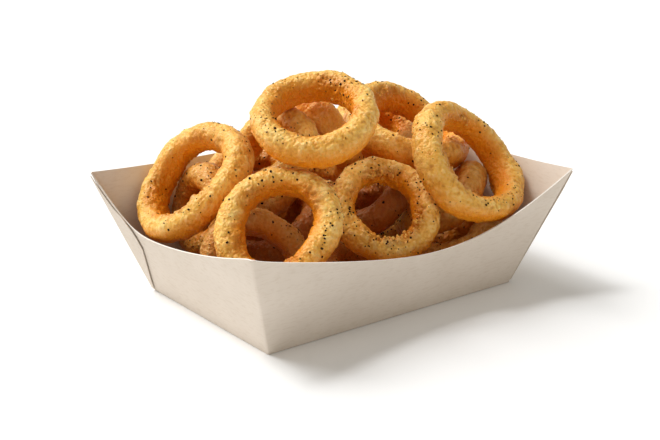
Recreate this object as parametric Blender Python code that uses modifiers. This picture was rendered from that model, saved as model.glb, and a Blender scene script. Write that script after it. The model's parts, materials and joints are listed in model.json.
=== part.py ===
# Onion rings side: battered onion rings heaped in a folded paperboard tray.
# Metres, +Z up. The tray stands on the ground at z = 0, centred on the origin, its long way along X.
# The tray's low walls are at -Y and -X, and its high walls at +Y and +X.

import math

import bmesh
import bpy
import numpy as np
from mathutils import Matrix, Vector

MM = 0.001

# The tray: a floor of 142 x 95 mm, walls that lean out as they rise, and board 0.6 mm thick.
BASE_X = 142 * MM
BASE_Y = 95 * MM
WALL_TOP = 57 * MM
FLARE_X = 21 * MM
FLARE_Y = 18.3 * MM
BOARD = 0.6 * MM
LONG_CUTS = 26
SHORT_CUTS = 20

# The rim's height at the tray's four corners, and in the middle of its two high walls.
TIP = 58 * MM
NEAR_TIP = 54.5 * MM
FAR_TIP = 57 * MM
HIGH_WALL = 54 * MM

# The gusset flaps, folded flat against the outside of the two short walls.
FLAP = 0.5 * MM
FLAP_FOOT = (46.4 * MM, 1.2 * MM)
FLAP_ELBOW = (40 * MM, 25 * MM)

# The rings: the half thickness of the batter across the ring and along its axis.
TUBE_ACROSS = 6.1 * MM
TUBE_ALONG = 7.3 * MM
RING_STEPS = 38
TUBE_STEPS = 9

# Every ring: the middle of its hole in mm, the way its axis points (azimuth and elevation), its spin about
# that axis, the radius of its middle line in mm, how oval it is and which way, its width factor, and its seed.
RINGS = {
    "ring_top": ((-15, -6, 88.5), 214, 72, -7, 24.8, 0.05, -49, 1.00, 1),
    "ring_left": ((-57.5, 31.5, 55.5), 178, 44, 1, 24.7, 0.06, 67, 1.00, 2),
    "ring_front_left": ((-51, -28, 48.5), 228, 47, 3, 23.2, 0.08, 69, 1.04, 3),
    "ring_front_right": ((11, -25.5, 43.5), 248, 46, -7, 20.6, 0.03, 95, 0.97, 4),
    "ring_right": ((55, -33, 59.5), 293, 42, -3, 26.8, 0.03, -26, 0.99, 5),
    "ring_back_right": ((54.5, 12.5, 65.5), 302, 67, -9, 26.5, 0.04, 20, 1.00, 6),
    "ring_back_left": ((-21.5, 20.5, 64.5), 181, 44, -17, 19.0, 0.05, 60, 1.00, 7),
    "ring_upright": ((58, 40, 57), 292, 66, -6, 17.5, 0.04, 30, 0.94, 8),
    "ring_middle": ((56.5, -14, 34), 131, 53, 1, 20.6, 0.05, 10, 1.00, 9),
    "ring_inner_left": ((-18, 40.5, 44.5), 225, 57, 1, 17.5, 0.04, 50, 0.94, 10),
    "ring_low_right": ((53, -29, 18.5), 127, 63, -158, 17.6, 0.05, 80, 1.00, 11),
    "ring_low_left": ((-49.5, 33.5, 39.5), 176, 7, 37, 17.5, 0.05, 0, 1.00, 12),
    "ring_floor_left": ((-52.5, -12, 28), 246, 34, 123, 19.1, 0.04, 30, 1.00, 13),
    "ring_inner_right": ((49, 34.5, 24.5), 254, 42, 31, 20.4, 0.05, 45, 1.00, 14),
    "ring_floor_middle": ((27.5, 5.5, 32.5), 139, 61, -168, 17.5, 0.04, 70, 1.00, 15),
    "ring_floor_right": ((1, -24, 12.5), 296, 76, 63, 17.7, 0.03, 15, 1.00, 16),
    "ring_floor_back": ((-16.5, 22.5, 24), 142, 63, 0, 21.6, 0.04, 40, 1.00, 17),
    "ring_high_middle": ((13.5, 28, 66), 358, 21, 0, 19.7, 0.04, 20, 1.00, 18),
}

# Base colours as linear values: golden batter and unbleached paperboard.
BATTER = (0.56, 0.27, 0.065, 1.0)
PAPERBOARD = (0.66, 0.58, 0.50, 1.0)


def make_material(name, color, roughness):
    material = bpy.data.materials.new(name)
    material.use_nodes = True
    shader = material.node_tree.nodes["Principled BSDF"]
    shader.inputs["Base Color"].default_value = color
    shader.inputs["Roughness"].default_value = roughness
    shader.inputs["Metallic"].default_value = 0.0
    return material


def rim_height(along_x, along_y, on_long_wall):
    """Height of the rim, with each coordinate running from -1 to 1 between the floor's corners."""
    if abs(along_x) > 0.999 and abs(along_y) > 0.999:
        if along_x < 0 and along_y < 0:
            return NEAR_TIP
        if along_x > 0 and along_y > 0:
            return FAR_TIP
        return TIP
    if on_long_wall:
        s = along_x
        if along_y > 0:
            return HIGH_WALL + (TIP - HIGH_WALL) * s * s
        return (32.4 - 10.4 * s + 17.3 * s**2 + 12.7 * s**3 + 6.0 * s**4) * MM
    s = along_y
    if along_x > 0:
        return HIGH_WALL + (TIP - HIGH_WALL) * s * s
    return (37 - 11 * s + 6.8 * s**2 + 24.5 * max(s, 0) ** 8) * MM


def lean(x, y, z):
    """Moves a point of the floor's edge out to where the leaning wall is at height z."""
    grow_x = 1 + FLARE_X * z / WALL_TOP / (BASE_X / 2)
    grow_y = 1 + FLARE_Y * z / WALL_TOP / (BASE_Y / 2)
    return Vector((x * grow_x, y * grow_y, z))


def make_tray_shell():
    """The floor is a grid, its border is drawn up twice for the walls, and the board is thickened inward."""
    bm = bmesh.new()
    bmesh.ops.create_grid(bm, x_segments=LONG_CUTS, y_segments=SHORT_CUTS, size=1)
    border = [edge for edge in bm.edges if edge.is_boundary]
    levels = []
    for fraction in (0.5, 1.0):
        drawn = bmesh.ops.extrude_edge_only(bm, edges=border)["geom"]
        border = [item for item in drawn if isinstance(item, bmesh.types.BMEdge)]
        levels.append((fraction, [item for item in drawn if isinstance(item, bmesh.types.BMVert)]))
        border = [edge for edge in border if edge.is_boundary]
    raised = {}
    for fraction, verts in levels:
        for vert in verts:
            along_x, along_y = vert.co.x, vert.co.y
            on_long_wall = abs(along_y) > 0.999
            height = rim_height(along_x, along_y, on_long_wall) * fraction
            raised[vert] = lean(along_x * BASE_X / 2, along_y * BASE_Y / 2, height)
    for vert in bm.verts:
        if vert in raised:
            vert.co = raised[vert]
        else:
            vert.co = Vector((vert.co.x * BASE_X / 2, vert.co.y * BASE_Y / 2, 0))
    floor = [face for face in bm.faces if all(abs(vert.co.z) < 1e-9 for vert in face.verts)]
    bmesh.ops.dissolve_faces(bm, faces=floor)
    bmesh.ops.recalc_face_normals(bm, faces=bm.faces[:])
    floor = min(bm.faces, key=lambda face: face.calc_center_median().z)
    if floor.normal.z > 0:
        bmesh.ops.reverse_faces(bm, faces=bm.faces[:])
    mesh = bpy.data.meshes.new("tray")
    bm.to_mesh(mesh)
    bm.free()
    tray = bpy.data.objects.new("tray", mesh)
    part.objects.link(tray)
    board = tray.modifiers.new("board", "SOLIDIFY")
    board.thickness = BOARD
    board.offset = -1
    board.use_even_offset = True
    return tray


def make_flap(name, side):
    """A gusset flap on the short wall at -X (side -1) or +X (side 1), next to one of the tray's tall corners."""
    outline = [Vector((FLAP_FOOT[0], FLAP_FOOT[1])), Vector((FLAP_ELBOW[0], FLAP_ELBOW[1]))]
    if side < 0:
        for s in (0.70, 0.78, 0.84, 0.89, 0.93, 0.96):
            height = rim_height(-1, s, False) - 0.4 * MM
            half = BASE_Y / 2 + FLARE_Y * height / WALL_TOP
            outline.append(Vector((s * half, height)))
    else:
        outline.append(Vector((42 * MM, 54 * MM)))
        outline.append(Vector((58 * MM, 56 * MM)))
    outline.append(Vector((65 * MM, 56.2 * MM)))
    outline.append(Vector((47.1 * MM, 1.2 * MM)))
    bm = bmesh.new()
    inner = -0.15 * MM
    rings = []
    for depth in (inner, FLAP):
        verts = []
        for point in outline:
            x = side * (BASE_X / 2 + FLARE_X * point.y / WALL_TOP + depth)
            verts.append(bm.verts.new((x, -side * point.x, point.y)))
        rings.append(verts)
    bm.faces.new(rings[0])
    bm.faces.new(rings[1])
    for index in range(len(outline)):
        after = (index + 1) % len(outline)
        bm.faces.new((rings[0][index], rings[0][after], rings[1][after], rings[1][index]))
    bmesh.ops.recalc_face_normals(bm, faces=bm.faces[:])
    mesh = bpy.data.meshes.new(name)
    bm.to_mesh(mesh)
    bm.free()
    flap = bpy.data.objects.new(name, mesh)
    cutters.objects.link(flap)
    flap.hide_render = True
    flap.display_type = "WIRE"
    return flap


def shape_ring(mesh, radius, oval, oval_at, width, seed):
    """Turns a plain torus into an onion ring: oval, a little warped, of uneven thickness, with a lumpy crust."""
    rng = np.random.default_rng(seed)
    phase_two, phase_three, warp_two, warp_three = rng.uniform(0, 2 * math.pi, 4)
    wave_counts = [(2, 1), (3, -1), (5, 1), (4, 2), (7, -1), (6, 3), (9, 2)]
    waves = [(around, along, rng.uniform(0, 2 * math.pi)) for around, along in wave_counts]
    lead = math.radians(oval_at)
    for vert in mesh.vertices:
        x, y, z = vert.co
        turn = math.atan2(y, x)
        roll = math.atan2(z, math.hypot(x, y) - radius)
        middle = radius * (1 + oval * math.cos(2 * (turn - lead)) + 0.02 * math.cos(3 * turn - phase_three))
        warp = (1.5 * math.cos(2 * turn - warp_two) + 0.6 * math.cos(3 * turn - warp_three)) * MM
        crust = sum(math.sin(around * turn + along * roll + phase) for around, along, phase in waves) / 7
        swell = 1 + 0.05 * math.cos(2 * turn - phase_two)
        across = TUBE_ACROSS * width * swell * math.copysign(abs(math.cos(roll)) ** 0.9, math.cos(roll))
        along = TUBE_ALONG * width * swell * math.copysign(abs(math.sin(roll)) ** 0.85, math.sin(roll))
        across *= 1 + 0.11 * crust
        along *= 1 + 0.11 * crust
        reach = middle + across
        vert.co = (reach * math.cos(turn), reach * math.sin(turn), warp + along)


def make_ring(name, place, azimuth, elevation, spin, radius, oval, oval_at, width, seed):
    bpy.ops.mesh.primitive_torus_add(
        major_segments=RING_STEPS,
        minor_segments=TUBE_STEPS,
        major_radius=radius * MM,
        minor_radius=TUBE_ACROSS,
    )
    ring = bpy.context.active_object
    ring.name = name
    ring.data.name = name
    for collection in list(ring.users_collection):
        collection.objects.unlink(ring)
    part.objects.link(ring)
    shape_ring(ring.data, radius * MM, oval, oval_at, width, seed)
    heading = Matrix.Rotation(math.radians(azimuth + 90), 4, "Z")
    tilt = Matrix.Rotation(math.radians(90 - elevation), 4, "X")
    twist = Matrix.Rotation(math.radians(spin), 4, "Z")
    ring.matrix_world = Matrix.Translation(Vector(place) * MM) @ heading @ tilt @ twist
    ring.data.materials.append(make_material(name, BATTER, 0.55))
    return ring


for thing in list(bpy.data.objects):
    bpy.data.objects.remove(thing, do_unlink=True)

part = bpy.data.collections.new("onion_rings_side")
cutters = bpy.data.collections.new("cutters")
bpy.context.scene.collection.children.link(part)
bpy.context.scene.collection.children.link(cutters)

tray = make_tray_shell()
for flap_name, flap_side in (("flap_left", -1), ("flap_right", 1)):
    joined = tray.modifiers.new(flap_name, "BOOLEAN")
    joined.operation = "UNION"
    joined.solver = "EXACT"
    joined.object = make_flap(flap_name, flap_side)
tray.data.materials.append(make_material("tray", PAPERBOARD, 0.8))

for ring_name, values in RINGS.items():
    make_ring(ring_name, *values)
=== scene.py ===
import json
import math

import bmesh
import bpy
import numpy as np
from mathutils import Matrix, Vector, noise

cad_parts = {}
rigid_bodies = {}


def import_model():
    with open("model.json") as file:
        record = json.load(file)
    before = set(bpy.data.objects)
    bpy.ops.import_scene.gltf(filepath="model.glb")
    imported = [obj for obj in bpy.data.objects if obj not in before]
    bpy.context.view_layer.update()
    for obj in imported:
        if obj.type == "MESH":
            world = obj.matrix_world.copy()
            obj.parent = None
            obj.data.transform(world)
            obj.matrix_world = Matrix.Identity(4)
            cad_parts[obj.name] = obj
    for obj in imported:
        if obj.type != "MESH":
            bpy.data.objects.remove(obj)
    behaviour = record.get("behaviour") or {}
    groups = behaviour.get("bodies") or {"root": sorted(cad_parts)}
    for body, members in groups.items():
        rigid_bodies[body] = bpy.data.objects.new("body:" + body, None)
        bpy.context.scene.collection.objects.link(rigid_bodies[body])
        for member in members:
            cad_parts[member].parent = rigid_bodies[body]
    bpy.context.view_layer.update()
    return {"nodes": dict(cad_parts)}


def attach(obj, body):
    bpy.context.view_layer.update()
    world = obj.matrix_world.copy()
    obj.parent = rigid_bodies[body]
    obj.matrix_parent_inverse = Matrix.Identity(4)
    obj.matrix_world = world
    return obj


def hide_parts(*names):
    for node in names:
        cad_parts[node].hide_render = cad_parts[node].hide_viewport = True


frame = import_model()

# The tray: one die-cut blank of uncoated paperboard, low at the front and left, high at the back and right.
# It is creased at the floor and corners and folded up, and its walls lean out.
# The board is 0.6 mm thick, and its cut rim shows as a paler line.
MM = 0.001
FLOOR_X = 142.0
FLOOR_Y = 95.0
LEAN_X = 21.0 / 57.0
LEAN_Y = 18.3 / 57.0
BOARD = 0.6
TALL_TIP = 58.0
FAR_TIP = 57.0
HIGH_WALL = 54.0
# A low rim's height in mm is a sum of powers of the place along its wall, from -1 to 1.
LONG_RIM = (32.4, -10.4, 17.3, 12.7, 6.0)
SHORT_RIM = (37.0, -11.0, 6.8)
CORNER_RISE = 24.5
CORNER_BLEND = 0.7
CREASE = 0.9
RIM_STEPS = 72
# The rows of points up a wall, as parts of the rim's height, lie closer at the crease.
WALL_LEVELS = (0.0, 0.012, 0.03, 0.10, 0.22, 0.36, 0.50, 0.64, 0.78, 0.90, 1.0)
INNER_FLOOR = (0.985, 0.978)
BELLY = 0.35
SWAY = 0.35
SWAY_SCALE = 28.0
# Each pattern's size in mm. Real pulp fibres are too fine to show, so they are drawn coarser.
PULP_CLOUD = 18.18
FIBRE_LONG = 3.846
FIBRE_WIDE = 0.909


def linear(hex_color):
    """The linear colour of an sRGB hex value."""
    parts = [int(hex_color[i:i + 2], 16) / 255 for i in (1, 3, 5)]
    return tuple([p / 12.92 if p <= 0.04045 else ((p + 0.055) / 1.055) ** 2.4 for p in parts] + [1.0])


def per_metre(size):
    """A pattern's scale in Blender, from the size in mm of what it draws."""
    return 1000.0 / size


def add_node(tree, kind, links=None, **settings):
    """Adds a node, sets its properties or inputs by name, and links other sockets to its inputs."""
    node = tree.nodes.new(kind)
    for key, value in settings.items():
        if hasattr(node, key):
            setattr(node, key, value)
        else:
            node.inputs[key.replace("_", " ")].default_value = value
    for key, socket in (links or {}).items():
        tree.links.new(socket, node.inputs[key])
    return node


def set_ramp(node, stops):
    """Gives a colour ramp its stops, as pairs of place and colour."""
    ramp = node.color_ramp
    while len(ramp.elements) > 1:
        ramp.elements.remove(ramp.elements[-1])
    ramp.elements[0].position, ramp.elements[0].color = stops[0]
    for place, color in stops[1:]:
        ramp.elements.new(place).color = color


def new_piece(name, mesh, material):
    """Puts a mesh in the scene as a piece with one material, smooth shaded."""
    piece = bpy.data.objects.new(name, mesh)
    bpy.context.scene.collection.objects.link(piece)
    mesh.materials.clear()
    mesh.materials.append(material)
    mesh.polygons.foreach_set("use_smooth", [True] * len(mesh.polygons))
    return piece


def paperboard():
    """Uncoated recycled paperboard, calendered: matte and warm off-white.

    It gives the eye faint clouds of pulp, short fibres along the sheet, and a paler cut edge.
    """
    material = bpy.data.materials.new("uncoated_paperboard")
    material.use_nodes = True
    tree = material.node_tree
    shader = tree.nodes["Principled BSDF"]
    shader.inputs["Roughness"].default_value = 0.82
    shader.inputs["IOR"].default_value = 1.45
    shader.inputs["Specular IOR Level"].default_value = 0.25
    place = add_node(tree, "ShaderNodeTexCoord").outputs["Object"]
    cloud = add_node(tree, "ShaderNodeTexNoise", {"Vector": place}, Scale=per_metre(PULP_CLOUD), Detail=3.0)
    along_sheet = (per_metre(FIBRE_LONG), per_metre(FIBRE_LONG), per_metre(FIBRE_WIDE))
    stretched = add_node(tree, "ShaderNodeMapping", {"Vector": place}, Scale=along_sheet).outputs["Vector"]
    fibre = add_node(tree, "ShaderNodeTexNoise", {"Vector": stretched}, Scale=1.0, Detail=4.0)
    mottle = add_node(tree, "ShaderNodeMix", {"Factor": cloud.outputs["Fac"]}, data_type="RGBA")
    mottle.inputs["A"].default_value = linear("#DBCEBF")
    mottle.inputs["B"].default_value = linear("#E9DDCF")
    speck = add_node(tree, "ShaderNodeValToRGB", {"Fac": fibre.outputs["Fac"]})
    set_ramp(speck, [(0.30, (0.90, 0.87, 0.83, 1)), (0.50, (1, 1, 1, 1)), (0.75, (1.0, 1.0, 1.0, 1))])
    tone_links = {"A": mottle.outputs["Result"], "B": speck.outputs["Color"]}
    tone = add_node(tree, "ShaderNodeMix", tone_links, data_type="RGBA", blend_type="MULTIPLY")
    tone.inputs["Factor"].default_value = 0.6
    cut = add_node(tree, "ShaderNodeAttribute", attribute_name="cut_edge")
    pale_links = {"Factor": cut.outputs["Fac"], "A": tone.outputs["Result"]}
    pale = add_node(tree, "ShaderNodeMix", pale_links, data_type="RGBA")
    pale.inputs["B"].default_value = linear("#F4EEE4")
    tree.links.new(pale.outputs["Result"], shader.inputs["Base Color"])
    bump = add_node(tree, "ShaderNodeBump", {"Height": fibre.outputs["Fac"]}, Strength=0.18, Distance=0.0002)
    tree.links.new(bump.outputs["Normal"], shader.inputs["Normal"])
    return material


def high_rim(s):
    """Height in mm of a high wall's rim, from s = -1 where it meets a low wall to 1 at the far corner."""
    tip = TALL_TIP if s < 0 else FAR_TIP
    return HIGH_WALL + (tip - HIGH_WALL) * s * s


def long_rim(s):
    """Height in mm of the low long wall's rim, from s = -1 at its -X end to 1."""
    return sum(part * s**power for power, part in enumerate(LONG_RIM)) + CORNER_BLEND * max(-s, 0) ** 30


def short_rim(s):
    """Height in mm of the low short wall's rim, from s = -1 at its -Y end to 1."""
    curve = sum(part * s**power for power, part in enumerate(SHORT_RIM))
    blend = CORNER_BLEND * (max(s, 0) ** 30 - max(-s, 0) ** 30)
    return curve + CORNER_RISE * max(s, 0) ** 8 + blend


def rim_and_foot():
    """Points round the floor's edge, each with its place along the wall, the way out and the rim's height."""
    points = []
    half_x, half_y = FLOOR_X / 2, FLOOR_Y / 2
    runs = [
        (Vector((-1, -1)), Vector((1, -1)), long_rim),
        (Vector((1, -1)), Vector((1, 1)), high_rim),
        (Vector((1, 1)), Vector((-1, 1)), lambda s: high_rim(-s)),
        (Vector((-1, 1)), Vector((-1, -1)), lambda s: short_rim(-s)),
    ]
    for start, end, rim in runs:
        way = (end - start).normalized()
        out = Vector((way.y, -way.x))
        half_run = half_x if abs(way.x) > 0.5 else half_y
        inset = CREASE / half_run
        for step in range(RIM_STEPS + 1):
            s = -1 + inset + (2 - 2 * inset) * step / RIM_STEPS
            spot = start.lerp(end, (s + 1) / 2)
            height = rim(s / (1 - inset))
            points.append((Vector((spot.x * half_x, spot.y * half_y)), s, out, height))
        corner = Vector((end.x * half_x, end.y * half_y)) - (out + way) * CREASE
        height = rim(1.0)
        for part in (0.25, 0.5, 0.75):
            angle = part * math.pi / 2
            facing = out * math.cos(angle) + way * math.sin(angle)
            points.append((corner + facing * CREASE, 1.0, facing, height))
    return points


def fold_up(spot, z):
    """Where a point of the floor's edge is at height z on the leaning wall."""
    grow_x = 1 + LEAN_X * z / (FLOOR_X / 2)
    grow_y = 1 + LEAN_Y * z / (FLOOR_Y / 2)
    return Vector((spot.x * grow_x, spot.y * grow_y, z)) * MM


def board_mesh():
    """The folded blank as one sheet: the floor, a rounded crease round it, and the walls up to the rim."""
    foot = rim_and_foot()
    bm = bmesh.new()
    inner_row = []
    for spot, s, out, rim in foot:
        inner_row.append(bm.verts.new(Vector((spot.x * INNER_FLOOR[0], spot.y * INNER_FLOOR[1], 0)) * MM))
    rows = [inner_row]
    for level in WALL_LEVELS:
        row = []
        for spot, s, out, rim in foot:
            point = fold_up(spot, rim * level)
            belly = math.sin(math.pi * level) * (1 - s * s)
            wave = noise.noise(Vector((point.x * SWAY_SCALE, point.y * SWAY_SCALE, level * 1.5)))
            shift = (BELLY * belly + SWAY * wave * level * (1 - s**8)) * MM
            row.append(bm.verts.new(point + Vector((out.x, out.y, 0)) * shift))
        rows.append(row)
    count = len(foot)
    for low, high in zip(rows, rows[1:]):
        for index in range(count):
            after = (index + 1) % count
            bm.faces.new((low[index], low[after], high[after], high[index]))
    bm.faces.new(list(reversed(inner_row)))
    bmesh.ops.recalc_face_normals(bm, faces=bm.faces[:])
    floor_face = min(bm.faces, key=lambda face: face.calc_center_median().z)
    if floor_face.normal.z > 0:
        bmesh.ops.reverse_faces(bm, faces=bm.faces[:])
    mesh = bpy.data.meshes.new("tray_board")
    bm.to_mesh(mesh)
    bm.free()
    return mesh


def baked(piece):
    """A piece's mesh with its modifiers applied."""
    bpy.context.view_layer.update()
    result = bpy.data.meshes.new_from_object(piece.evaluated_get(bpy.context.evaluated_depsgraph_get()))
    piece.modifiers.clear()
    old = piece.data
    piece.data = result
    bpy.data.meshes.remove(old)
    return result


def mark_cut_edge(mesh, thickness):
    """Marks the narrow faces along the sheet's cut edge, which are as wide as the board is thick."""
    mark = mesh.attributes.new("cut_edge", "FLOAT", "FACE")
    values = []
    for face in mesh.polygons:
        sides = [(mesh.vertices[a].co - mesh.vertices[b].co).length for a, b in face.edge_keys]
        narrow = len(sides) == 4 and min(sides) < thickness * 1.25
        on_rim = face.center.z > 0.02 and abs(face.normal.z) > 0.5
        values.append(1.0 if narrow and on_rim else 0.0)
    mark.data.foreach_set("value", values)


board_finish = paperboard()
tray = new_piece("tray_board", board_mesh(), board_finish)
sheet = tray.modifiers.new("sheet", "SOLIDIFY")
sheet.thickness = BOARD * MM
sheet.offset = -1
sheet.use_even_offset = True
baked(tray)
mark_cut_edge(tray.data, BOARD * MM)
tray.data.polygons.foreach_set("use_smooth", [True] * len(tray.data.polygons))
tray.data.set_sharp_from_angle(angle=math.radians(50))
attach(tray, "root")
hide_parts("tray")

# The gusset flaps: the corner webs of the same board, folded back flat on the outside of the short walls.
# They are glued along the fold by the tall corners, and are not quite flat at the free edge.
# There they stand a hair off the wall, which leaves the dark seam beside the tall corners.
FLAP_BOARD = 0.45
FLAP_INNER = 0.02
GLUED_LIFT = 0.30
FREE_LIFT = 0.70
FREE_POINTS = range(1, 7)
# The outline's points, in mm along the wall and up from the floor.
LOW_EDGE = [(45.4, 1.0), (44.0, 7.0), (42.0, 15.0), (39.6, 25.0)]
LEFT_EDGE = [(41.0, 29.6), (43.2, 33.6), (46.4, 37.2), (50.2, 39.6)]
RIGHT_EDGE = [(41.5, 40.0), (43.0, 53.6), (52.0, 55.0)]
CORNER_POINT = (65.3, 56.6)
FOLD_FOOT = (47.3, 1.0)
FOLD_TOP = (65.6, 56.0)
FOLD_STEPS = 6
BELOW_RIM = 0.5
UNDER_RIM = (0.89, 0.92, 0.95, 0.97)


def flap_mesh(name, side):
    """One flap, on the short wall at side -1 or 1, as a thin plate with its free edge lifted."""
    edge = list(LOW_EDGE)
    if side < 0:
        edge += LEFT_EDGE
        for s in UNDER_RIM:
            height = short_rim(s) - BELOW_RIM
            edge.append((s * (FLOOR_Y / 2 + LEAN_Y * height), height))
    else:
        edge += RIGHT_EDGE
    edge.append(CORNER_POINT)
    fold = []
    for step in range(FOLD_STEPS):
        part = step / FOLD_STEPS
        fold.append(tuple(foot + (top - foot) * part for foot, top in zip(FOLD_FOOT, FOLD_TOP)))
    outline = edge + list(reversed(fold))
    bm = bmesh.new()
    plates = []
    for layer in (FLAP_INNER, FLAP_BOARD):
        verts = []
        for index, (y, z) in enumerate(outline):
            lift = FREE_LIFT if index in FREE_POINTS else GLUED_LIFT
            x = side * (FLOOR_X / 2 + LEAN_X * z + layer + lift)
            verts.append(bm.verts.new(Vector((x, -side * y, z)) * MM))
        plates.append(verts)
    bm.faces.new(plates[0])
    bm.faces.new(list(reversed(plates[1])))
    for index in range(len(outline)):
        after = (index + 1) % len(outline)
        bm.faces.new((plates[0][after], plates[0][index], plates[1][index], plates[1][after]))
    bmesh.ops.triangulate(bm, faces=[face for face in bm.faces if len(face.verts) > 4])
    bmesh.ops.recalc_face_normals(bm, faces=bm.faces[:])
    mesh = bpy.data.meshes.new(name)
    bm.to_mesh(mesh)
    bm.free()
    return mesh


for flap_name, flap_side in (("flap_left", -1), ("flap_right", 1)):
    flap = new_piece(flap_name, flap_mesh(flap_name, flap_side), board_finish)
    flap.data.polygons.foreach_set("use_smooth", [False] * len(flap.data.polygons))
    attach(flap, "root")

# The onion rings: a slice of onion in thick wheat batter, deep fried to a lumpy golden crust.
# The batter stands in soft swells and small blisters, with painted shade in its dips and painted highlight on
# its crests. Its hole wall is a darker orange, partly its own tone and partly painted shade, and painted
# shade lies on its underside and on the rings low in the heap.
# Where the wet batter tore, along the edges of the hole, the crust is ragged.
RING_NODES = [name for name in frame["nodes"] if name.startswith("ring_")]
FINELY_MESHED = ("ring_top", "ring_front_left", "ring_front_right")
# How much painted shade, a darker brown, lies on a ring low in the heap, where the other rings shade it.
HEAP_SHADE_LEVEL = {
    "ring_middle": 0.3, "ring_inner_left": 0.15, "ring_inner_right": 0.1,
    "ring_low_right": 0.35, "ring_low_left": 0.35, "ring_floor_left": 0.5,
    "ring_floor_middle": 0.8, "ring_floor_right": 0.7, "ring_floor_back": 0.8,
}
# How far the torn batter reaches round the hole. A ring that isn't named here has little of it.
RAGGED = {
    "ring_front_right": 1.0, "ring_top": 0.1, "ring_left": 0.0,
    "ring_right": 0.1, "ring_back_right": 0.2,
}
HARDLY_RAGGED = -0.2
# How much painted shade, in the hole wall's orange, lies on all of a ring that is seen only in the shade of
# the top ring.
PAINTED_RING_SHADE = {"ring_high_middle": 0.5}
# Each form's size across and its height, in mm.
SWELL = (9.5, 0.45)
LUMP = (4.2, 0.16)
BLISTER = (1.9, 0.38)
PIT = (2.6, 0.40)
GRAIN = (1.1, 0.13)
CRAG = (2.8, 0.95)
CRUMBLE = (1.4, 0.42)
TEAR_SIZE = 13.0
BASE_HEIGHT = 0.42
# Where round the batter the hole's wall starts and the torn lip is, in radians from the ring's outside.
WALL_START = 1.62
WALL_FADE = 0.85
WALL_WANDER = (7.0, 0.22)
LIP_AT = 2.15
LIP_WIDTH = 0.5
SECTORS = 48
# The finish's patterns in mm: patches of gold, grains of coarse flour and the beads that frying leaves.
GOLD_PATCH = 13.33
FINE_GRAIN = 2.381
BEAD = 1.1765


def value_noise(points, size, seed):
    """Smooth noise from about -1 to 1 at points in mm, with features of about the size given."""
    spots = points / size + seed * 17.31
    cell = np.floor(spots).astype(np.int64)
    inside = spots - cell
    ease = inside * inside * inside * (inside * (inside * 6 - 15) + 10)
    total = np.zeros(len(points))
    for corner in range(8):
        step = np.array([corner & 1, (corner >> 1) & 1, (corner >> 2) & 1])
        corner_cell = (cell + step) * np.array([73856093, 19349663, 83492791])
        key = corner_cell[:, 0] ^ corner_cell[:, 1] ^ corner_cell[:, 2]
        key = (key ^ (key >> 13)) * 1274126177
        key = (key ^ (key >> 16)) & 0xFFFFFF
        weight = np.prod(np.where(step, ease, 1 - ease), axis=1)
        total += weight * (key / 0x7FFFFF - 1)
    return total * 1.5


def ring_frame(points):
    """A ring's centre, two ways across it, and its axis, which is the way it is thinnest."""
    centre = points.mean(axis=0)
    spread = np.linalg.svd((points - centre).T @ (points - centre))[0]
    axis = spread[:, 2]
    if axis[2] < 0:
        axis = -axis
    return centre, spread[:, 0], np.cross(axis, spread[:, 0]), axis


def smoothed(values):
    """Values round a circle, each averaged with its two neighbours."""
    return (values + np.roll(values, 1) + np.roll(values, -1)) / 3


def roll_round_batter(points):
    """Each point's turn round the batter, from 0 on the ring's outside to pi or -pi in the hole."""
    centre, first, second, axis = ring_frame(points)
    local = points - centre
    x, y, z = local @ first, local @ second, local @ axis
    turn = np.arctan2(y, x)
    reach = np.hypot(x, y)
    sector = ((turn + math.pi) / (2 * math.pi) * SECTORS).astype(int) % SECTORS
    parts = [sector == k for k in range(SECTORS)]
    middle = smoothed(np.array([(reach[part].max() + reach[part].min()) / 2 for part in parts]))
    level = smoothed(np.array([(z[part].max() + z[part].min()) / 2 for part in parts]))
    return np.arctan2(z - level[sector], reach - middle[sector])


def refined_ring(node):
    """A ring's piece, made of a finer and rounder copy of its solid."""
    source = bpy.data.objects[node].data.copy()
    bm = bmesh.new()
    bm.from_mesh(source)
    bmesh.ops.remove_doubles(bm, verts=bm.verts[:], dist=0.00001)
    flat_enough = {"angle_face_threshold": math.radians(60), "angle_shape_threshold": math.radians(180)}
    bmesh.ops.join_triangles(bm, faces=bm.faces[:], **flat_enough)
    bm.to_mesh(source)
    bm.free()
    piece = new_piece(node + "_crust", source, batter)
    smooth = piece.modifiers.new("smooth", "SUBSURF")
    smooth.levels = 4 if node in FINELY_MESHED else 3
    smooth.render_levels = smooth.levels
    baked(piece)
    return piece


def keep_for_finish(mesh, **marks):
    """Keeps a value for each point of a mesh under each name, for the batter's finish."""
    for name, values in marks.items():
        mesh.attributes.new(name, "FLOAT", "POINT").data.foreach_set("value", values)


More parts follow.
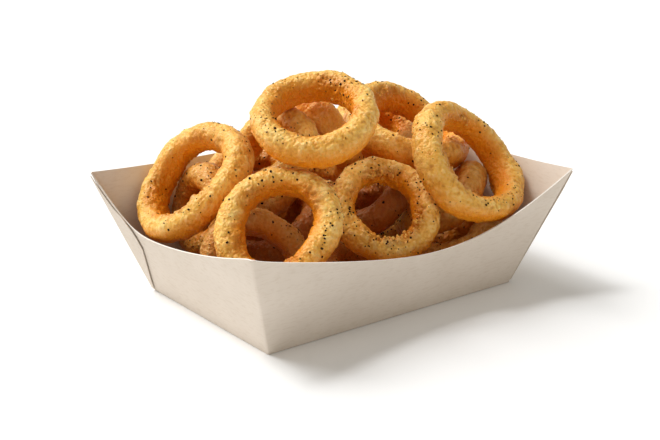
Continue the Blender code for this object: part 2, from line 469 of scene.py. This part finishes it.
def fried_crust(node, seed):
    """A ring swollen into crust. Its relief, its hole wall with the painted shade of its underside, its
    painted heap shade and its rag are kept for the finish.
    """
    piece = refined_ring(node)
    mesh = piece.data
    count = len(mesh.vertices)
    points = np.empty(count * 3)
    normals = np.empty(count * 3)
    mesh.vertices.foreach_get("co", points)
    mesh.vertices.foreach_get("normal", normals)
    points = points.reshape(-1, 3) * 1000
    normals = normals.reshape(-1, 3)
    roll = np.abs(roll_round_batter(points))
    ragged = RAGGED.get(node, HARDLY_RAGGED)

    # Painted shade: faces that look down take the hole wall's orange, as does the hole wall, which is partly
    # the crust's own tone.
    underside_shade = np.clip(0.34 - normals[:, 2] * 1.3, 0, 1)
    wall_edge = WALL_START - value_noise(points, WALL_WANDER[0], seed + 70) * WALL_WANDER[1]
    hole_and_shade = np.maximum(np.clip((roll - wall_edge) / WALL_FADE, 0, 1), underside_shade)
    hole_and_shade = np.maximum(hole_and_shade, PAINTED_RING_SHADE.get(node, 0))
    lip = np.exp(-((roll - LIP_AT) / LIP_WIDTH) ** 2)
    torn = np.clip(value_noise(points, TEAR_SIZE, seed + 40) * 1.4 + ragged, 0, 1) * lip

    swell = value_noise(points, SWELL[0], seed) * SWELL[1]
    lumps = value_noise(points, LUMP[0], seed + 10) * LUMP[1]
    blisters = np.clip(value_noise(points, BLISTER[0], seed + 20) - 0.15, 0, 1) * BLISTER[1]
    pits = -np.clip(value_noise(points, PIT[0], seed + 25) - 0.70, 0, 1) * PIT[1]
    grain = value_noise(points, GRAIN[0], seed + 30) * GRAIN[1]
    crags = np.clip(value_noise(points, CRAG[0], seed + 50) + 0.15, -0.35, 0.9) * CRAG[1]
    crags += value_noise(points, CRUMBLE[0], seed + 60) * CRUMBLE[1]
    crags *= torn * (1 + 1.1 * RAGGED.get(node, 0))

    height = BASE_HEIGHT + swell + lumps + blisters + pits + grain + crags
    points = points + normals * height[:, None]
    mesh.vertices.foreach_set("co", (points / 1000).ravel())
    mesh.update()
    relief = 0.53 + lumps * 0.6 + blisters * 1.1 + pits * 0.5 + grain * 1.9 + crags * 0.3
    keep_for_finish(
        mesh,
        relief=np.clip(relief, 0, 1),
        hole_wall=hole_and_shade,
        deep=[HEAP_SHADE_LEVEL.get(node, 0.0)] * count,
        rag=np.clip(torn, 0, 1),
    )
    mesh.polygons.foreach_set("use_smooth", [True] * len(mesh.polygons))
    return piece


def fried_batter():
    """Deep-fried wheat batter: golden, with painted highlight on its blisters and crests, painted shade in
    its dips, and an uneven gloss.

    It gives the eye oily glints on fine beads, a darker orange hole wall that is partly its own tone and
    partly painted shade, painted shade on the underside, and painted brown shade on the rings low in the
    heap.
    """
    material = bpy.data.materials.new("fried_wheat_batter")
    material.use_nodes = True
    tree = material.node_tree
    shader = tree.nodes["Principled BSDF"]
    shader.inputs["IOR"].default_value = 1.46
    shader.inputs["Specular IOR Level"].default_value = 0.52
    shader.inputs["Specular Tint"].default_value = (1.0, 0.84, 0.58, 1)
    shader.inputs["Subsurface Weight"].default_value = 0.25
    shader.inputs["Subsurface Radius"].default_value = (1.0, 0.45, 0.18)
    shader.inputs["Subsurface Scale"].default_value = 0.0018
    place = add_node(tree, "ShaderNodeTexCoord").outputs["Object"]
    relief, hole, deep, rag = [
        add_node(tree, "ShaderNodeAttribute", attribute_name=name).outputs["Fac"]
        for name in ("relief", "hole_wall", "deep", "rag")
    ]
    patches = {"Scale": per_metre(GOLD_PATCH), "Detail": 3.0, "Roughness": 0.55}
    broad = add_node(tree, "ShaderNodeTexNoise", {"Vector": place}, **patches).outputs["Fac"]
    grains = {"Scale": per_metre(FINE_GRAIN), "Detail": 4.0, "Roughness": 0.6}
    fine = add_node(tree, "ShaderNodeTexNoise", {"Vector": place}, **grains).outputs["Fac"]

    gold = add_node(tree, "ShaderNodeValToRGB", {"Fac": broad})
    set_ramp(gold, [(0.30, linear("#E8A23C")), (0.50, linear("#F8BE5C")), (0.70, linear("#FDD27A"))])
    # Painted shade in the dips and painted highlight on the crests, from the relief's height.
    relief_shade_and_highlight = add_node(tree, "ShaderNodeValToRGB", {"Fac": relief})
    dips, slopes = (0.15, linear("#A6560E")), (0.42, linear("#E39F36"))
    crests, tips = (0.62, linear("#F4BE58")), (0.90, linear("#FCD88E"))
    set_ramp(relief_shade_and_highlight, [dips, slopes, crests, tips])
    crust_links = {"A": gold.outputs["Color"], "B": relief_shade_and_highlight.outputs["Color"]}
    crust = add_node(tree, "ShaderNodeMix", crust_links, data_type="RGBA")
    crust.inputs["Factor"].default_value = 0.46

    # The hole wall's orange: partly the crust's own tone, partly painted shade, which also covers the
    # underside and a ring in shade.
    wall_part = add_node(tree, "ShaderNodeMath", {0: hole}, operation="MULTIPLY")
    wall_part.inputs[1].default_value = 0.96
    wall_links = {"Factor": wall_part.outputs["Value"], "A": crust.outputs["Result"]}
    wall = add_node(tree, "ShaderNodeMix", wall_links, data_type="RGBA")
    wall.inputs["B"].default_value = linear("#EA8C0C")
    # Painted shade: a darker brown over the rings low in the heap.
    heap_shaded = add_node(tree, "ShaderNodeMix", {"Factor": deep, "A": wall.outputs["Result"]}, data_type="RGBA")
    heap_shaded.inputs["B"].default_value = linear("#A24608")
    rag_part = add_node(tree, "ShaderNodeMath", {0: rag, 1: fine}, operation="MULTIPLY")
    torn_links = {"Factor": rag_part.outputs["Value"], "A": heap_shaded.outputs["Result"]}
    torn = add_node(tree, "ShaderNodeMix", torn_links, data_type="RGBA")
    torn.inputs["B"].default_value = linear("#B5691A")

    speckle = add_node(tree, "ShaderNodeValToRGB", {"Fac": fine})
    dark_fleck, pale_fleck = (0.66, 0.48, 0.32, 1), (1.06, 1.05, 1.04, 1)
    set_ramp(speckle, [(0.26, dark_fleck), (0.40, (1, 1, 1, 1)), (0.64, (1, 1, 1, 1)), (0.72, pale_fleck)])
    tone_links = {"A": torn.outputs["Result"], "B": speckle.outputs["Color"]}
    tone = add_node(tree, "ShaderNodeMix", tone_links, data_type="RGBA", blend_type="MULTIPLY")
    tone.inputs["Factor"].default_value = 0.7
    tree.links.new(tone.outputs["Result"], shader.inputs["Base Color"])

    oily_to_dry = {"From_Min": 0.3, "From_Max": 0.7, "To_Min": 0.28, "To_Max": 0.50}
    gloss = add_node(tree, "ShaderNodeMapRange", {"Value": broad}, **oily_to_dry)
    tree.links.new(gloss.outputs["Result"], shader.inputs["Roughness"])
    bead_form = {"feature": "SMOOTH_F1", "Scale": per_metre(BEAD), "Smoothness": 0.6}
    beads = add_node(tree, "ShaderNodeTexVoronoi", {"Vector": place}, **bead_form)
    bead_height = {"Height": beads.outputs["Distance"]}
    bead_bump = add_node(tree, "ShaderNodeBump", bead_height, invert=True, Strength=0.8, Distance=0.0005)
    grain_height = {"Height": fine, "Normal": bead_bump.outputs["Normal"]}
    bump = add_node(tree, "ShaderNodeBump", grain_height, Strength=0.9, Distance=0.0009)
    tree.links.new(bump.outputs["Normal"], shader.inputs["Normal"])
    return material


batter = fried_batter()
crusts = {}
for number, node in enumerate(sorted(RING_NODES)):
    crust = fried_crust(node, number + 1)
    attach(crust, "root")
    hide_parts(node)
    crusts[node] = crust

# The crumbs: bits of batter that dripped off and fried crisp along the torn edges of the holes.
# Each is a knobbly grain, 0.6 to 1.9 mm across, half sunk in the crust it fried onto.
CRUMBS = 12
RAGGED_CRUMBS = 200
SMALLEST_CRUMB = 0.30
CRUMB_SPREAD = 0.65
CRUMB_SINK = 0.05
KNOB = 0.35


def grain_ball(bm, centre, size, stretch, rng):
    """Adds a small knobbly ball to the mesh."""
    made = bmesh.ops.create_icosphere(bm, subdivisions=2, radius=1.0)
    tilt = Matrix.Rotation(rng.uniform(0, 6.28), 3, Vector(rng.normal(size=3)).normalized())
    offset = Vector(rng.uniform(-50, 50, 3))
    for vert in made["verts"]:
        knob = 1 + KNOB * noise.noise(vert.co * 1.7 + offset)
        local = Vector((vert.co.x * stretch[0], vert.co.y * stretch[1], vert.co.z * stretch[2]))
        vert.co = centre + tilt @ local * knob * size


def surface_spots(crust, count, weigh, rng):
    """Random spots on a crust, with their normals, taken more often where the weight is high."""
    mesh = crust.data
    area = np.empty(len(mesh.polygons))
    mesh.polygons.foreach_get("area", area)
    centres = np.empty(len(mesh.polygons) * 3)
    mesh.polygons.foreach_get("center", centres)
    facing = np.empty(len(mesh.polygons) * 3)
    mesh.polygons.foreach_get("normal", facing)
    centres, facing = centres.reshape(-1, 3), facing.reshape(-1, 3)
    chance = area * weigh(mesh, centres * 1000, facing)
    picks = rng.choice(len(area), count, p=chance / chance.sum())
    return centres[picks], facing[picks]


def near_torn_edge(mesh, centres, facing):
    """How much of each face is torn, so that crumbs gather there."""
    rag = np.empty(len(mesh.vertices))
    mesh.attributes["rag"].data.foreach_get("value", rag)
    corners = np.empty(len(mesh.polygons) * 4, dtype=np.int64)
    mesh.polygons.foreach_get("vertices", corners)
    return rag[corners.reshape(-1, 4)].mean(axis=1) ** 2 + 0.0005


crumb_rng = np.random.default_rng(7)
bm = bmesh.new()
for node, crust in crusts.items():
    count = CRUMBS + int(RAGGED_CRUMBS * RAGGED.get(node, 0))
    spots, facing = surface_spots(crust, count, near_torn_edge, crumb_rng)
    for spot, normal in zip(spots, facing):
        size = (SMALLEST_CRUMB + CRUMB_SPREAD * crumb_rng.random() ** 2) * MM
        centre = Vector(spot) + Vector(normal) * size * CRUMB_SINK
        grain_ball(bm, centre, size, crumb_rng.uniform(0.6, 1.2, 3), crumb_rng)
crumb_mesh = bpy.data.meshes.new("crumbs")
bm.to_mesh(crumb_mesh)
bm.free()
crumbs = new_piece("crumbs", crumb_mesh, batter)
crumb_points = len(crumb_mesh.vertices)
keep_for_finish(
    crumb_mesh,
    relief=crumb_rng.uniform(0.40, 0.85, crumb_points),
    hole_wall=[0.25] * crumb_points,
)
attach(crumbs, "root")

# The pepper: coarsely ground black pepper shaken over the heap and stuck to the oily crust.
# Its flakes are 0.4 to 1.3 mm, flat and angular, and lie thickest on what faces up.
FLAKES = 80
PEPPERED = {
    "ring_top": 170, "ring_front_right": 190, "ring_right": 130,
    "ring_front_left": 110, "ring_left": 100,
}
SMALLEST_FLAKE = 0.22
FLAKE_SPREAD = 0.42
FLAKE_RISE = 0.12
PEPPER_PATCH = 16.0
HUSK_GRAIN = 1.111


def ground_pepper():
    """Ground black peppercorn husk: near black-brown and matte, which reads as dark specks on the crust."""
    material = bpy.data.materials.new("black_pepper_husk")
    material.use_nodes = True
    tree = material.node_tree
    shader = tree.nodes["Principled BSDF"]
    shader.inputs["Roughness"].default_value = 0.85
    shader.inputs["Specular IOR Level"].default_value = 0.1
    place = add_node(tree, "ShaderNodeTexCoord").outputs["Object"]
    husk = add_node(tree, "ShaderNodeTexNoise", {"Vector": place}, Scale=per_metre(HUSK_GRAIN), Detail=2.0)
    tone = add_node(tree, "ShaderNodeValToRGB", {"Fac": husk.outputs["Fac"]})
    set_ramp(tone, [(0.35, linear("#1A0F08")), (0.70, linear("#4A2A14"))])
    tree.links.new(tone.outputs["Color"], shader.inputs["Base Color"])
    return material


def facing_up(mesh, centres, facing):
    """How much pepper falls on each face: more where it faces up, in loose patches."""
    patch = np.clip(value_noise(centres, PEPPER_PATCH, 91) * 0.9 + 0.7, 0.1, 1.3)
    return np.clip(facing[:, 2] + 0.45, 0.05, 1.3) * patch


pepper_rng = np.random.default_rng(23)
bm = bmesh.new()
for node, crust in crusts.items():
    spots, facing = surface_spots(crust, PEPPERED.get(node, FLAKES), facing_up, pepper_rng)
    for spot, normal in zip(spots, facing):
        size = (SMALLEST_FLAKE + FLAKE_SPREAD * pepper_rng.random() ** 1.7) * MM
        out = Vector(normal)
        flat = out.to_track_quat("Z", "Y").to_matrix() @ Matrix.Rotation(pepper_rng.uniform(0, 6.28), 3, "Z")
        made = bmesh.ops.create_icosphere(bm, subdivisions=1, radius=1.0)
        longer, thinner = pepper_rng.uniform(0.8, 1.5), pepper_rng.uniform(0.35, 0.6)
        for vert in made["verts"]:
            jag = 1 + pepper_rng.uniform(-0.28, 0.22)
            local = Vector((vert.co.x * longer, vert.co.y, vert.co.z * thinner)) * size * jag
            vert.co = flat @ local + Vector(spot) + out * size * FLAKE_RISE
pepper_mesh = bpy.data.meshes.new("pepper")
bm.to_mesh(pepper_mesh)
bm.free()
pepper = new_piece("pepper", pepper_mesh, ground_pepper())
pepper_mesh.polygons.foreach_set("use_smooth", [False] * len(pepper_mesh.polygons))
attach(pepper, "root")

# The studio: a white sweep under the tray, in a bright room that fills the shadows.
# One large soft light stands at the upper left, and a smaller one beside it draws the glints on the crust.
# The camera stands at the photo's angle, with a long lens.
AZIMUTH = math.radians(-36.9)
ELEVATION = math.radians(20.1)
TARGET = Vector((-20.0, -24.7, 45.0)) * MM
DISTANCE = 0.834
SWEEP = 6.0
SWEEP_DROP = 0.2 * MM
LIGHT_COLOR = (0.97, 0.985, 1.0)
LIGHT_REACH = 1.2
level_back = Vector((math.sin(AZIMUTH), -math.cos(AZIMUTH), 0))
back = level_back * math.cos(ELEVATION) + Vector((0, 0, math.sin(ELEVATION)))
right = Vector((math.cos(AZIMUTH), math.sin(AZIMUTH), 0))
up = back.cross(right)

floor_mesh = bpy.data.meshes.new("sweep")
floor_corners = [(-SWEEP, -SWEEP, 0), (SWEEP, -SWEEP, 0), (SWEEP, SWEEP, 0), (-SWEEP, SWEEP, 0)]
floor_mesh.from_pydata(floor_corners, [], [(0, 1, 2, 3)])
sweep_finish = bpy.data.materials.new("white_sweep")
sweep_finish.use_nodes = True
sweep_shader = sweep_finish.node_tree.nodes["Principled BSDF"]
sweep_shader.inputs["Base Color"].default_value = (0.96, 0.96, 0.96, 1)
sweep_shader.inputs["Roughness"].default_value = 0.6
sweep_shader.inputs["Specular IOR Level"].default_value = 0.2
floor = new_piece("sweep", floor_mesh, sweep_finish)
floor.location.z = -SWEEP_DROP


def soft_sun(name, direction, spread, strength):
    """An even light from a direction, as soft as a source that many degrees wide."""
    data = bpy.data.lights.new(name, "SUN")
    data.angle = math.radians(spread)
    data.energy = strength
    data.color = LIGHT_COLOR
    light = bpy.data.objects.new(name, data)
    bpy.context.scene.collection.objects.link(light)
    light.location = Vector((0, 0, 0.04)) + direction.normalized() * LIGHT_REACH
    light.rotation_euler = direction.to_track_quat("Z", "Y").to_euler()


soft_sun("key_light", right * -0.74 + level_back * -0.42 + Vector((0, 0, 0.90)), 44.0, 2.85)
soft_sun("glint_light", right * -0.50 + level_back * -0.15 + Vector((0, 0, 1.0)), 12.0, 0.66)

room = bpy.data.worlds.new("white_room")
room.use_nodes = True
room.node_tree.nodes["Background"].inputs["Color"].default_value = (1.0, 0.955, 0.875, 1)
room.node_tree.nodes["Background"].inputs["Strength"].default_value = 0.43
bpy.context.scene.world = room
bpy.context.scene.view_settings.view_transform = "Standard"

lens = bpy.data.cameras.new("camera")
lens.lens = 100
lens.sensor_width = 36
lens.clip_end = 20
camera = bpy.data.objects.new("camera", lens)
bpy.context.scene.collection.objects.link(camera)
turned = Matrix((right, up, back)).transposed().to_4x4()
camera.matrix_world = Matrix.Translation(TARGET + back * DISTANCE) @ turned
bpy.context.scene.camera = camera
